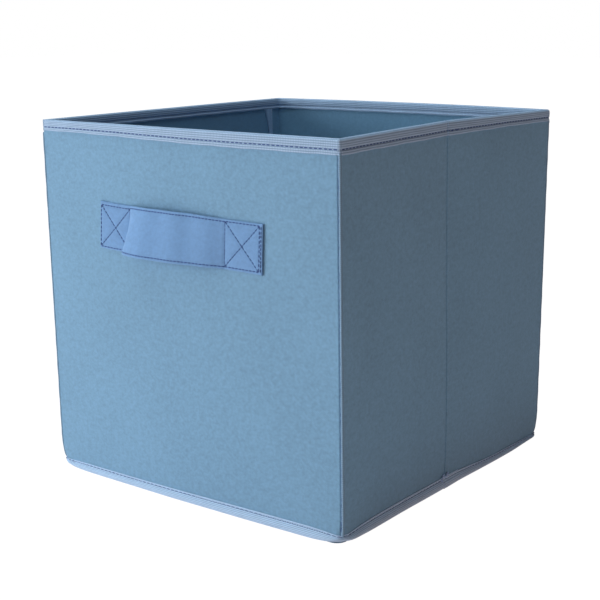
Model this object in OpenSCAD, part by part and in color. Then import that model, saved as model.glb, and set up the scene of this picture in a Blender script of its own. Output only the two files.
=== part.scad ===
// Foldable fabric storage bin: chipboard-stiffened walls under non-woven fabric,
// bound along the rim and the floor with ribbed tape. The two side walls fold
// inward at a middle crease, so the front wall travels back to the rear wall.
// The loose base insert tips up against the rear wall first.
// Origin at the middle of the floor footprint, front towards -Y, up +Z.

/* [Bin] */
// Outside width across the front
bin_w = 280; // [260:2:300]
// Outside depth from front to back
bin_d = 284; // [260:2:284]
// Height from the floor to the top of the rim
bin_h = 278; // [240:2:320]
// Plan radius of the corners at the floor
floor_corner_r = 20; // [14:1:22]
// Height over which the corners change from rounded to square
corner_blend_h = 34; // [24:1:60]

/* [Wall layers] */
// Thickness of the outer fabric
outer_t = 0.5; // [0.4:0.1:0.6]
// Thickness of the chipboard in each wall
board_t = 2; // [1.6:0.1:2.2]
// Thickness of the lining
lining_t = 0.5; // [0.4:0.1:0.6]

/* [Binding tape] */
// Thickness of the tape
tape_t = 0.8; // [0.6:0.1:0.8]
// Height of the tape seen along the rim
rim_tape_h = 10.5; // [9:0.5:13]
// Height of the bound seam around the floor
floor_seam_h = 8.5; // [7:0.5:10]
// Thickness of the bound seam around the floor
floor_seam_w = 4.6; // [4:0.2:5]

/* [Handle] */
// Length of the strap from end to end
strap_l = 158; // [130:2:180]
// Width of the strap
strap_w = 36; // [28:1:40]
// Thickness of the strap
strap_t = 1.6; // [1.2:0.1:2]
// Length of each stitched-down end
strap_end_l = 35; // [32:1:38]
// How far the middle of the strap stands off the wall
strap_gap = 11; // [8:1:14]
// Height of the middle of the strap
strap_z = 202; // [190:1:210]
// Sideways offset of the strap
strap_x = -4; // [-4:1:4]
// How far the strap is turned on the wall, left end up
strap_tilt = 1; // [-2:0.5:2]

/* [Base insert] */
// Thickness of the insert
insert_t = 2.8; // [2.4:0.1:2.8]
// Gap between the insert and the side walls
insert_side_gap = 4; // [4:0.5:6]

/* [Hidden] */

half_w = bin_w / 2;
half_d = bin_d / 2;
wall_t = outer_t + board_t + lining_t;
slack = 0.15;                               // gap between pieces of different bodies
wall_low = floor_seam_h + 0.5;              // the walls stand just above the floor seam
wall_top = bin_h - tape_t - 0.2;
fabric_low = floor_seam_h + 0.1;
corner_r_top = 1.5;                         // corners are nearly square at the rim
return_l = 3.1;                             // end walls wrap this far round each corner
crease_gap = 3;                             // boards stop short of the side crease
board_corner_gap = 4.6;                     // boards stop at the corner folding line
arc_steps = 5;
level_steps = 6;
bottom_fabric_t = 0.8;
insert_low = bottom_fabric_t + 0.1;
insert_hinge_y = half_d - wall_t - 1.5;     // rear edge, about which it tips up
insert_front_y = -(half_d - wall_t - 5);
cover_t = 0.4;
hem_w = 4;
stitch_l = 2.6;
stitch_pitch = 4;
long_pitch = 8;                             // along the floor seam and the insert
stitch_h = 0.6;
stitch_proud = 0.25;
rim_stitch_drop = 6.8;                      // seam line below the top of the rim
ridge_r = 1.1;

fabric_blue = [0.44, 0.59, 0.72];
lining_blue = [0.25, 0.38, 0.50];
tape_blue = [0.66, 0.72, 0.86];
strap_blue = [0.47, 0.58, 0.80];
thread_navy = [0.20, 0.25, 0.48];
chipboard = [0.62, 0.55, 0.45];

// Plan radius of a corner at height z: round at the floor, nearly square above.
function corner_r(z) =
    let (s = max(0, 1 - (z - floor_seam_h) / corner_blend_h))
    corner_r_top + (floor_corner_r - corner_r_top) * s * s;

// Distance from an end wall's outer face to the free edge of its corner return.
function return_end(z) = max(return_l, corner_r(z) + 0.1);

// Heights that the curved lower corners are sampled at, from the lowest up.
function levels(low, high) =
    [for (i = [0 : level_steps]) low + i * (corner_blend_h + floor_seam_h - low) / level_steps,
     high];

// Plan outline of an end wall's skin at height z, inset from the outer face.
function skin_line(z, inset) =
    let (r = corner_r(z), q = r - inset, cx = half_w - r, cy = -half_d + r)
    [
        [-half_w + inset, -half_d + return_end(z)],
        for (i = [0 : arc_steps])
            let (a = 180 + 90 * i / arc_steps) [-cx + q * cos(a), cy + q * sin(a)],
        for (i = [0 : arc_steps])
            let (a = 270 + 90 * i / arc_steps) [cx + q * cos(a), cy + q * sin(a)],
        [half_w - inset, -half_d + return_end(z)]
    ];

function reversed(list) = [for (i = [len(list) - 1 : -1 : 0]) list[i]];

// Solid through a stack of closed outlines that all have the same point count.
module loft(outlines, heights) {
    n = len(outlines[0]);
    last = len(outlines) - 1;
    points = [for (k = [0 : last]) for (p = outlines[k]) [p[0], p[1], heights[k]]];
    sides = [
        for (k = [0 : last - 1]) for (i = [0 : n - 1])
            let (j = (i + 1) % n) each [
                [k * n + i, (k + 1) * n + i, (k + 1) * n + j],
                [k * n + i, (k + 1) * n + j, k * n + j]
            ]
    ];
    floor_cap = [for (i = [0 : n - 1]) i];
    roof_cap = [for (i = [n - 1 : -1 : 0]) last * n + i];
    polyhedron(points, concat([floor_cap, roof_cap], sides), convexity = 6);
}

module rounded_plate(half_x, front_y, back_y, r) {
    hull()
        for (x = [-half_x + r, half_x - r], y = [front_y + r, back_y - r])
            translate([x, y]) circle(r, $fn = 48);
}

// A row of running stitches along +X, centred, lying on the plane z = 0.
module stitch_row(length, pitch = stitch_pitch) {
    count = floor(length / pitch);
    for (i = [0 : count - 1])
        translate([(i - (count - 1) / 2) * pitch - stitch_l / 2, -stitch_h / 2, 0])
            cube([stitch_l, stitch_h, stitch_proud]);
}

// Stitch row on an upright face that looks towards -Y at y.
module upright_row(length, x, y, z, pitch = stitch_pitch) {
    translate([x, y, z]) rotate([90, 0, 0]) stitch_row(length, pitch);
}

// Mirrors a front part to the back.
module at_back() {
    mirror([0, 1, 0]) children();
}

// Places a half side wall, drawn for the left rear, on either side and end.
module at_half(side, end) {
    mirror([side > 0 ? 1 : 0, 0, 0]) mirror([0, end < 0 ? 1 : 0, 0]) children();
}

// ---- End walls, drawn for the front ----

module end_outer_fabric() {
    heights = levels(fabric_low, wall_top);
    outlines = [for (z = heights) concat(skin_line(z, 0), reversed(skin_line(z, outer_t)))];
    color(fabric_blue) loft(outlines, heights);
}

// Elevation of a flat end-wall layer whose lower corners follow the corner curve.
module end_elevation(side_gap) {
    heights = levels(wall_low, wall_top);
    right = [for (z = heights) [half_w - max(side_gap, corner_r(z)), z]];
    left = [for (p = reversed(right)) [-p[0], p[1]]];
    polygon(concat(right, left));
}

module end_layer(depth, thickness, side_gap) {
    translate([0, -half_d + depth + thickness, 0]) rotate([90, 0, 0])
        linear_extrude(thickness) end_elevation(side_gap);
}

module end_board() {
    color(chipboard) end_layer(outer_t, board_t, outer_t + 1);
}

module end_lining() {
    color(lining_blue) end_layer(outer_t + board_t, lining_t, wall_t - lining_t);
}

// Tape folded over the rim, closed round both corners.
module end_top_binding() {
    low = bin_h - rim_tape_h;
    inner_y = -half_d + wall_t;
    color(tape_blue) union() {
        translate([-half_w - tape_t, -half_d - tape_t, low])
            cube([bin_w + 2 * tape_t, tape_t - 0.05, rim_tape_h]);
        translate([-half_w - tape_t, -half_d - tape_t, bin_h - tape_t])
            cube([bin_w + 2 * tape_t, wall_t + 2 * tape_t, tape_t]);
        translate([-half_w + wall_t + 0.1, inner_y + 0.05, low])
            cube([bin_w - 2 * wall_t - 0.2, tape_t - 0.05, rim_tape_h]);
        for (s = [-1, 1])
            translate([s * (half_w + tape_t / 2 + 0.025) - (tape_t - 0.05) / 2, -half_d - tape_t, low])
                cube([tape_t - 0.05, wall_t + tape_t, rim_tape_h]);
    }
}

module end_stitching() {
    color(thread_navy)
        upright_row(bin_w - 8, 0, -half_d - tape_t, bin_h - rim_stitch_drop);
}

// Narrow raised ridge where the fabric panels are sewn together at a corner.
module corner_seam(side) {
    heights = levels(fabric_low, bin_h - rim_tape_h - 0.1);
    outlines = [for (z = heights)
        let (r = corner_r(z), reach = r + ridge_r + 0.05)
        [for (i = [0 : 7]) [
            side * (half_w - r + reach * cos(45)) + ridge_r * cos(-45 * i),
            -half_d + r - reach * sin(45) + ridge_r * sin(-45 * i)
        ]]];
    color(tape_blue) loft([for (o = outlines) reversed(o)], heights);
}

// ---- Half side walls, drawn for the left rear ----

// Elevation in (y, z) of a half side layer from the crease to the corner.
module half_elevation(crease_end, corner_gap) {
    heights = levels(wall_low, wall_top);
    polygon(concat(
        [[crease_end, wall_low]],
        [for (z = heights) [half_d - return_end(z) - slack - corner_gap, z]],
        [[crease_end, wall_top]]
    ));
}

module half_layer(depth, thickness, crease_end, corner_gap) {
    translate([-half_w + depth, 0, 0]) rotate([90, 0, 90])
        linear_extrude(thickness) half_elevation(crease_end, corner_gap);
}

module half_outer_fabric() {
    color(fabric_blue) half_layer(0, outer_t, slack, 0);
}

module half_board() {
    color(chipboard) half_layer(outer_t, board_t, crease_gap, board_corner_gap);
}

module half_lining() {
    color(lining_blue) half_layer(outer_t + board_t, lining_t, slack, 0);
}

module half_top_binding() {
    low = bin_h - rim_tape_h;
    length = half_d - wall_t - tape_t - 0.2 - slack;
    color(tape_blue) union() {
        translate([-half_w - tape_t, slack, low]) cube([tape_t - 0.05, length, rim_tape_h]);
        translate([-half_w - tape_t, slack, bin_h - tape_t])
            cube([wall_t + 2 * tape_t, length, tape_t]);
        translate([-half_w + wall_t + 0.05, slack, low]) cube([tape_t - 0.05, length, rim_tape_h]);
    }
}

module half_stitching() {
    length = half_d - wall_t - 6;
    color(thread_navy) translate([-half_w - tape_t, slack + 2 + length / 2, bin_h - rim_stitch_drop])
        rotate([90, 0, -90]) stitch_row(length);
}

// ---- Handle ----

// Stand-off of the strap's inner face at a distance from the strap's middle.
function strap_rise(x) =
    let (free = strap_l / 2 - strap_end_l, u = min(1, abs(x) / free))
    strap_gap * (1 - u * u * u * u);

module handle_strap() {
    steps = 24;
    free = strap_l / 2 - strap_end_l;
    xs = [-strap_l / 2, for (i = [0 : steps]) -free + 2 * free * i / steps, strap_l / 2];
    face_y = -half_d - 0.05;
    color(strap_blue) translate([strap_x, 0, strap_z]) rotate([0, strap_tilt, 0])
        translate([0, 0, -strap_w / 2]) linear_extrude(strap_w) polygon(concat(
            [for (x = xs) [x, face_y - strap_rise(x)]],
            [for (x = reversed(xs)) [x, face_y - strap_rise(x) - strap_t]]
        ));
}

// Box with a cross in it, sewn through each end of the strap.
module box_and_cross(size) {
    for (a = [0 : 90 : 270]) rotate(a) translate([0, size / 2, 0]) stitch_row(size - 2);
    for (a = [45, 135]) rotate(a) stitch_row(size * sqrt(2) - 6);
}

module handle_stitching() {
    box_size = 30;
    reach = strap_l / 2 - 2.5 - box_size / 2;
    color(thread_navy) translate([strap_x, -half_d - 0.05 - strap_t, strap_z])
        rotate([0, strap_tilt, 0]) rotate([90, 0, 0])
            for (s = [-1, 1]) translate([s * reach, 0, 0]) box_and_cross(box_size);
}

// ---- Floor of the bin ----

module bottom_fabric() {
    inset = floor_seam_w - tape_t + 0.05;
    color(fabric_blue) linear_extrude(bottom_fabric_t)
        rounded_plate(half_w - inset, -half_d + inset, half_d - inset, floor_corner_r - inset);
}

// Bound seam all round the floor; the bin stands on it.
module bottom_binding() {
    inset = floor_seam_w - tape_t;
    color(tape_blue) linear_extrude(floor_seam_h) difference() {
        rounded_plate(half_w + tape_t, -half_d - tape_t, half_d + tape_t, floor_corner_r + tape_t);
        rounded_plate(half_w - inset, -half_d + inset, half_d - inset, floor_corner_r - inset);
    }
}

module bottom_stitching() {
    z = floor_seam_h - 1;
    color(thread_navy) union() {
        for (m = [0, 1]) mirror([0, m, 0])
            upright_row(bin_w - 2 * floor_corner_r, 0, -half_d - tape_t, z, long_pitch);
        for (m = [0, 1]) mirror([m, 0, 0])
            translate([-half_w - tape_t, 0, z]) rotate([90, 0, -90])
                stitch_row(bin_d - 2 * floor_corner_r, long_pitch);
    }
}

// ---- Base insert ----

module insert_plate(inset) {
    rounded_plate(half_w - wall_t - insert_side_gap - inset, insert_front_y + inset,
                  insert_hinge_y - inset, 18 - inset);
}

module insert_hem() {
    difference() {
        insert_plate(0);
        insert_plate(hem_w);
    }
}

module base_board() {
    thickness = insert_t - 2 * cover_t;
    color(chipboard) translate([0, 0, insert_low + cover_t])
        linear_extrude(thickness) insert_plate(hem_w + 0.1);
}

module base_cover_bottom() {
    color(lining_blue) translate([0, 0, insert_low]) union() {
        linear_extrude(cover_t) insert_plate(0);
        linear_extrude(insert_t / 2) insert_hem();
    }
}

module base_cover_top() {
    color(lining_blue) union() {
        translate([0, 0, insert_low + insert_t - cover_t])
            linear_extrude(cover_t) insert_plate(0);
        translate([0, 0, insert_low + insert_t / 2 + 0.02])
            linear_extrude(insert_t / 2 - 0.02) insert_hem();
    }
}

// Seam round the insert's sleeve, along its straight edges.
module base_stitching() {
    half_x = half_w - wall_t - insert_side_gap - hem_w / 2;
    half_y = (insert_hinge_y - insert_front_y) / 2 - hem_w / 2;
    mid_y = (insert_hinge_y + insert_front_y) / 2;
    color(thread_navy) translate([0, mid_y, insert_low + insert_t]) {
        for (s = [-1, 1]) translate([0, s * half_y, 0]) stitch_row(2 * half_x - 36, long_pitch);
        for (s = [-1, 1]) translate([s * half_x, 0, 0]) rotate(90) stitch_row(2 * half_y - 36, long_pitch);
    }
}

end_outer_fabric();  // front_outer_fabric
end_board();  // front_board
end_lining();  // front_lining
end_top_binding();  // front_top_binding
end_stitching();  // front_stitching
corner_seam(-1);  // front_left_seam
corner_seam(1);  // front_right_seam
handle_strap();
handle_stitching();
at_back() end_outer_fabric();  // back_outer_fabric
at_back() end_board();  // back_board
at_back() end_lining();  // back_lining
at_back() end_top_binding();  // back_top_binding
at_back() end_stitching();  // back_stitching
at_back() corner_seam(-1);  // back_left_seam
at_back() corner_seam(1);  // back_right_seam
at_half(-1, 1) half_outer_fabric();  // left_rear_outer_fabric
at_half(-1, 1) half_board();  // left_rear_board
at_half(-1, 1) half_lining();  // left_rear_lining
at_half(-1, 1) half_top_binding();  // left_rear_top_binding
at_half(-1, 1) half_stitching();  // left_rear_stitching
at_half(-1, -1) half_outer_fabric();  // left_front_outer_fabric
at_half(-1, -1) half_board();  // left_front_board
at_half(-1, -1) half_lining();  // left_front_lining
at_half(-1, -1) half_top_binding();  // left_front_top_binding
at_half(-1, -1) half_stitching();  // left_front_stitching
at_half(1, 1) half_outer_fabric();  // right_rear_outer_fabric
at_half(1, 1) half_board();  // right_rear_board
at_half(1, 1) half_lining();  // right_rear_lining
at_half(1, 1) half_top_binding();  // right_rear_top_binding
at_half(1, 1) half_stitching();  // right_rear_stitching
at_half(1, -1) half_outer_fabric();  // right_front_outer_fabric
at_half(1, -1) half_board();  // right_front_board
at_half(1, -1) half_lining();  // right_front_lining
at_half(1, -1) half_top_binding();  // right_front_top_binding
at_half(1, -1) half_stitching();  // right_front_stitching
bottom_fabric();
bottom_binding();
bottom_stitching();
base_board();
base_cover_top();
base_cover_bottom();
base_stitching();
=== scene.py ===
"""Looks of the fabric storage bin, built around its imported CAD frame.

Shape code works in millimetres in the frame's own axes; meshes are stored in metres.
"""
import math
import random
from collections import namedtuple

import bmesh
import bpy
import numpy as np
from mathutils import Matrix, Vector


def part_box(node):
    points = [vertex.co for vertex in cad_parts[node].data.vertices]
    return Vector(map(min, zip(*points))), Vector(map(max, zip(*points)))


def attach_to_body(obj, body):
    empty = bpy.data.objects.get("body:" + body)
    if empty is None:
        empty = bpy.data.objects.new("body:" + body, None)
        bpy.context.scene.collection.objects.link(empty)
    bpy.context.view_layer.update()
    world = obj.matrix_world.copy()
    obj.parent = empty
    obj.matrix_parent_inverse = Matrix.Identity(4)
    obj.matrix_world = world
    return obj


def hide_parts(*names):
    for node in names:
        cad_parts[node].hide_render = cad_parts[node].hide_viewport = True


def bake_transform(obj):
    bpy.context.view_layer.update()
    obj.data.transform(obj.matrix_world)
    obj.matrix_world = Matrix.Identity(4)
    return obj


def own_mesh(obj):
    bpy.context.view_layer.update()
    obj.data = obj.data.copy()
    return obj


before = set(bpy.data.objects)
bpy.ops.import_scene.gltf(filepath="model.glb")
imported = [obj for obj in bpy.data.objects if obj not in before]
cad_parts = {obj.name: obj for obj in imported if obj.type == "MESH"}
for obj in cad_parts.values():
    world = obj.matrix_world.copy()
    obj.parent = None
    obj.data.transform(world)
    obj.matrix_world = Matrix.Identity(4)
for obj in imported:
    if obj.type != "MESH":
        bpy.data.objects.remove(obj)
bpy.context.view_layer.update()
random.seed(11)

MM = 0.001
UV_NAME = "cloth"


def box_mm(node):
    """Low and high corner of a CAD node's box."""
    low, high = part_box(node)
    return np.array(low) / MM, np.array(high) / MM


# ---- Sizes that come from the frame ----

skin_low, skin_high = box_mm("front_outer_fabric")
HALF_W = skin_high[0]
HALF_D = -skin_low[1]
RIM_Z = box_mm("front_top_binding")[1][2]
RIM_TAPE_H = RIM_Z - box_mm("front_top_binding")[0][2]
SEAM_TOP = box_mm("bottom_binding")[1][2]
strap_low, strap_high = box_mm("handle_strap")
INSERT_LOW, INSERT_HIGH = box_mm("base_cover_bottom")
INSERT_TOP = box_mm("base_cover_top")[1][2]

# ---- Sizes of the soft shape ----

TOP_RADIUS = 1.5          # plan radius of the corners at the rim
FLOOR_RADIUS = 20.0       # and at the floor
CORNER_DECAY = 6.0        # height over which it falls to about a third
CORNER_PUSH = 1.8         # the front left corner stands out sideways by this
CORNER_TUCK = 3.4         # the front right corner is this much further back at the floor
SEAM_INSET = 1.3          # from the corner seam to its line of stitches
SEWN_ENDS = {("front", 1), ("left", 1), ("back", -1), ("back", 1)}   # wall ends the stitches are on
INNER_RADIUS = 0.3        # smallest radius of a folded inner corner
TAPER = 1.5               # how far each side leans in at the floor
STEADY = 100.0            # columns beyond this follow the corner's radius
EVEN_END = 133.5          # boards and evenly spaced columns end here
FABRIC_T = 0.5
BOARD_BACK = -2.5         # inner face of the chipboard, from the outer face
LINING_FACE = -3.0
FABRIC_LOW = 5.0
LINING_LOW = 4.4
BOARD_LOW_Z = 9.4
BOARD_GAP = 0.02          # between the chipboard and the cloth on each face
END_BOARD_INSET = 3.5     # from a corner seam to the end wall's board
CREASE_BOARD_GAP = 4.0    # from the middle of a side wall to each of its boards
FABRIC_HIGH = RIM_Z - 3.0
BOARD_HIGH_Z = RIM_Z - 1.6
CREASE_AT = -5.0          # crease of the right side, along the wall
CREASE_PIECE = 20.0       # half length of the piece that bends at a side crease
CREASE_BEND = 6.0         # half length of its bend
CORNER_BEND = (139.0, 129.0)   # from the end wall to the side wall, in y
OPEN_SPLIT = 134.0        # where the left side wall parts from the rear corner
PIVOT = (136.0, 134.0)    # corner folding line, in x and y

# side: (outward direction, direction along the wall, half length, distance from the middle).
# A column is a place along a wall as it is at the rim, and corners belong to both their walls.
SIDES = {
    "front": ((0, -1), (1, 0), HALF_W, HALF_D),
    "right": ((1, 0), (0, 1), HALF_D, HALF_W),
    "back": ((0, 1), (-1, 0), HALF_W, HALF_D),
    "left": ((-1, 0), (0, -1), HALF_D, HALF_W),
}
SIDE_RUN = 280.0
SIDE_START = {side: k * SIDE_RUN for k, side in enumerate(SIDES)}   # where each wall's cloth begins


# ---- Shape of the walls ----

def corner_radius(z):
    """Plan radius of the bin's corners at a height."""
    return TOP_RADIUS + (FLOOR_RADIUS - TOP_RADIUS) * np.exp(-np.maximum(z, 0) / CORNER_DECAY)


def seam_groove(side, column, z, out):
    """How far the stitches pull the cloth in beside a corner seam."""
    ends = np.clip((z - SEAM_TOP) / 5, 0, 1) * np.clip((RIM_Z - RIM_TAPE_H + 3 - z) / 4, 0, 1)
    depth = 0.9 * ends * np.clip(1 + out / 2.4, 0, 1)
    groove = 0.0
    for s in (-1, 1):
        if (side, s) in SEWN_ENDS:
            beside = s * column - seam_column(side) + SEAM_INSET
            groove = groove + depth * np.exp(-(beside / 0.7) ** 2)
    return groove


def tent(along, half, peak, soft=4.0):
    """1 at the peak, falling straight to 0 at both ends of a wall."""
    away = along - peak
    reach = np.where(away > 0, half - peak, half + peak)
    rounded = (np.hypot(away, soft) - soft) / (np.hypot(reach, soft) - soft)
    return 1 - rounded


def wall_shift(side, along, z, half):
    """How far a wall stands out of its flat plane, and how far it is lifted."""
    high = np.clip(z / RIM_Z, 0, 1)
    ends = 1 - (along / half) ** 2
    if side == "right":
        fold = tent(along, half, CREASE_AT, 1.0)
        out = -(1.0 + 4.4 * high ** 1.4) * fold - 1.0 * np.exp(-((along - CREASE_AT) / 0.45) ** 2)
        out = out - 2.0 * (1 - (along / half) ** 4) * np.exp(-z / 40)
        up = 1.3 * fold * high ** 3
    elif side == "left":
        out = -(0.6 + 1.2 * high) * tent(along, half, 0.0)
        up = 0.4 * ends * high ** 3
    elif side == "back":
        out = 2.3 * ends * high ** 2
        up = 0.6 * ends * high ** 3
    else:
        out = 0.5 * ends * np.sin(math.pi * high) + 2.2 * ends * np.exp(-np.maximum(z, 0) / 40)
        up = 0.4 * np.clip(-along / half, 0, 1) * ends * high ** 3
    wave = np.sin(along / 31.0 + len(side)) * np.sin(z / 43.0 + 2 * len(side))
    ripple = np.sin(along / 12.5 + z / 27.0) * np.sin(z / 17.0 + len(side))
    return out + ends * (0.28 * wave + 0.09 * ripple), up


def perimeter(side, column, z):
    """Distance along the wall at height z of a column named by its place at the rim."""
    half = SIDES[side][2]
    seam_top = half - TOP_RADIUS + TOP_RADIUS * math.pi / 4
    radius = corner_radius(z)
    seam = half - TAPER * (1 - z / RIM_Z) - radius + radius * math.pi / 4
    stretch = (seam - STEADY) / (seam_top - STEADY)
    size = np.abs(column)
    return np.sign(column) * np.where(size > STEADY, STEADY + (size - STEADY) * stretch, size)


def place(side, column, z, out):
    """Points of a wall, for a column along it, a height and a distance out of its outer face."""
    outward, forward, half, depth = SIDES[side]
    column, z, out = np.broadcast_arrays(*[np.asarray(v, float) for v in (column, z, out)])
    out = out - seam_groove(side, column, z, out)
    lean = TAPER * (1 - np.clip(z, 0, RIM_Z) / RIM_Z)
    half, depth = half - lean, depth - lean
    radius = corner_radius(z)
    run = perimeter(side, column, z)
    flat_end = half - radius
    turn = np.clip((np.abs(run) - flat_end) / radius, 0, math.pi / 2)
    bend = np.maximum(radius + out, INNER_RADIUS)
    flat = np.minimum(np.abs(run), flat_end)
    end = half + out - bend
    flat = np.where(flat > STEADY, STEADY + (flat - STEADY) * (end - STEADY) / (flat_end - STEADY), flat)
    along = np.sign(run) * (flat + bend * np.sin(turn))
    away = depth + out - bend * (1 - np.cos(turn))
    bulge, lift = wall_shift(side, np.clip(along, -half, half), z, half)
    away = away + bulge
    x = outward[0] * away + forward[0] * along
    y = outward[1] * away + forward[1] * along
    to_front = 0.5 - y / (2 * HALF_D)
    to_right = 0.5 + x / (2 * HALF_W)
    x = x - CORNER_PUSH * (1 - to_right) * to_front
    y = y + CORNER_TUCK * to_right * to_front * (1 - np.clip(z, 0, RIM_Z) / RIM_Z)
    return np.stack([x, y, z + lift], axis=-1)


def seam_column(side):
    """Column of the corner seam, half way round the corner."""
    half = SIDES[side][2]
    return half - TOP_RADIUS * (1 - math.pi / 4)


def corner_end(side):
    """Column where the corner begins at the rim."""
    return SIDES[side][2] - TOP_RADIUS


def spread(low, high, step):
    """Even values between two ends, about one step apart."""
    count = max(2, int(round(abs(high - low) / step)) + 1)
    return np.linspace(low, high, count)


def wall_columns(side, low, high, step=4.0):
    """Columns between two places on a wall, closer together at the crease and the corners."""
    flat_end = corner_end(side)
    marks = [spread(-136, 136, step)]
    for s in (-1, 1):
        marks.append(s * spread(EVEN_END, flat_end, 0.4))
        marks.append(s * spread(flat_end, flat_end + TOP_RADIUS * math.pi / 2, 0.29))
    if side in ("left", "right"):
        marks += [spread(-8, 8, 0.4), CREASE_AT + spread(-1.5, 1.5, 0.15)]
    found = np.unique(np.round(np.concatenate(marks), 4))
    found = found[(found > low + 0.05) & (found < high - 0.05)]
    return np.concatenate([[low], found, [high]])


def wall_levels(low, high):
    """Heights, closer together over the rounded lower corners."""
    curve_top = 5 * CORNER_DECAY
    return np.concatenate([spread(low, curve_top, 2.2)[:-1], spread(curve_top, high, 6.0)])


# ---- Mesh helpers ----

def finish_mesh(name, points, faces, uvs, material, sharp=40):
    """Object from points in millimetres; uvs holds one pair for each face corner."""
    mesh = bpy.data.meshes.new(name)
    mesh.from_pydata((np.asarray(points) * MM).tolist(), [], faces)
    layer = mesh.uv_layers.new(name=UV_NAME)
    layer.data.foreach_set("uv", (np.asarray(uvs, np.float32) * MM).ravel())
    work = bmesh.new()
    work.from_mesh(mesh)
    bmesh.ops.remove_doubles(work, verts=work.verts, dist=1e-7)
    bmesh.ops.recalc_face_normals(work, faces=work.faces)
    work.to_mesh(mesh)
    work.free()
    mesh.polygons.foreach_set("use_smooth", [True] * len(mesh.polygons))
    mesh.set_sharp_from_angle(angle=math.radians(sharp))
    mesh.materials.append(material)
    made = bpy.data.objects.new(name, mesh)
    bpy.context.scene.collection.objects.link(made)
    return made


def slab(name, face, back, uv, material):
    """Closed thin solid between two grids of points, with flat coordinates uv for both."""
    rows, cols = face.shape[:2]
    points = np.concatenate([face.reshape(-1, 3), back.reshape(-1, 3)])
    flat = np.concatenate([uv.reshape(-1, 2), uv.reshape(-1, 2)])
    count = rows * cols
    front = quad_grid(rows, cols)
    rear = front[:, ::-1] + count
    top = np.arange(cols - 1)
    side = np.arange(rows - 1) * cols
    last_row = top + (rows - 1) * cols
    last_col = side + cols - 1
    rims = [
        np.stack([top + 1, top, top + count, top + 1 + count], axis=1),
        np.stack([last_row, last_row + 1, last_row + 1 + count, last_row + count], axis=1),
        np.stack([side, side + cols, side + cols + count, side + count], axis=1),
        np.stack([last_col + cols, last_col, last_col + count, last_col + cols + count], axis=1),
    ]
    faces = np.concatenate([front, rear, *rims])
    return finish_mesh(name, points, faces.tolist(), flat[faces.ravel()], material)


def flat_grid(a, b):
    """Flat coordinates of a grid, from two arrays that broadcast to its shape."""
    return np.stack(np.broadcast_arrays(a, b), axis=-1)


def smooth_path(points, step):
    """Evenly spaced points on a smooth curve through a few points."""
    p = np.array(points, float)
    ends = np.concatenate([[2 * p[0] - p[1]], p, [2 * p[-1] - p[-2]]])
    t = np.linspace(0, 1, 16, endpoint=False)[:, None]
    curve = []
    for k in range(len(p) - 1):
        a, b, c, d = ends[k:k + 4]
        curve.append(0.5 * (2 * b + (c - a) * t + (2 * a - 5 * b + 4 * c - d) * t ** 2
                            + (3 * b - a - 3 * c + d) * t ** 3))
    curve = np.concatenate(curve + [p[-1:]])
    length = distances(curve)
    marks = spread(0, length[-1], step)
    return np.stack([np.interp(marks, length, curve[:, i]) for i in range(2)], axis=1), marks


def unit(vectors):
    """Vectors brought to length 1."""
    return vectors / np.linalg.norm(vectors, axis=-1)[..., None]


def path_normals(path, axis):
    """Normals of a path in the plane, on the side where the first one points up the given axis."""
    d = unit(np.gradient(path, axis=0))
    normals = np.stack([-d[:, 1], d[:, 0]], axis=1)
    return normals if normals[0][axis] > 0 else -normals


def distances(line):
    """Length along a line of points, at each of them."""
    return np.concatenate([[0], np.cumsum(np.linalg.norm(np.diff(line, axis=0), axis=1))])


def quad_grid(rows, cols):
    """Faces over a grid of points."""
    a = (np.arange(rows - 1)[:, None] * cols + np.arange(cols - 1)[None, :]).ravel()
    return np.stack([a, a + 1, a + cols + 1, a + cols], axis=1)


def ease(t):
    """0 to 1 with a soft start and end."""
    t = np.clip(t, 0, 1)
    return t * t * (3 - 2 * t)


# ---- Sewing thread ----

STITCH_SIDES = 6
STITCH_LIFT = np.array([-0.35, 0.05, 0.2, 0.24, 0.2, 0.05, -0.35])    # off the cloth, along a stitch
STITCH_GIRTH = np.array([0.55, 0.95, 1.0, 1.0, 1.0, 0.95, 0.55])
LIFT_RADIUS = 0.3         # thread that the lift above is for
ROUTE_POINTS = 400
SURFACE_STEP = 0.05       # for finding a surface's normals


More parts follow.
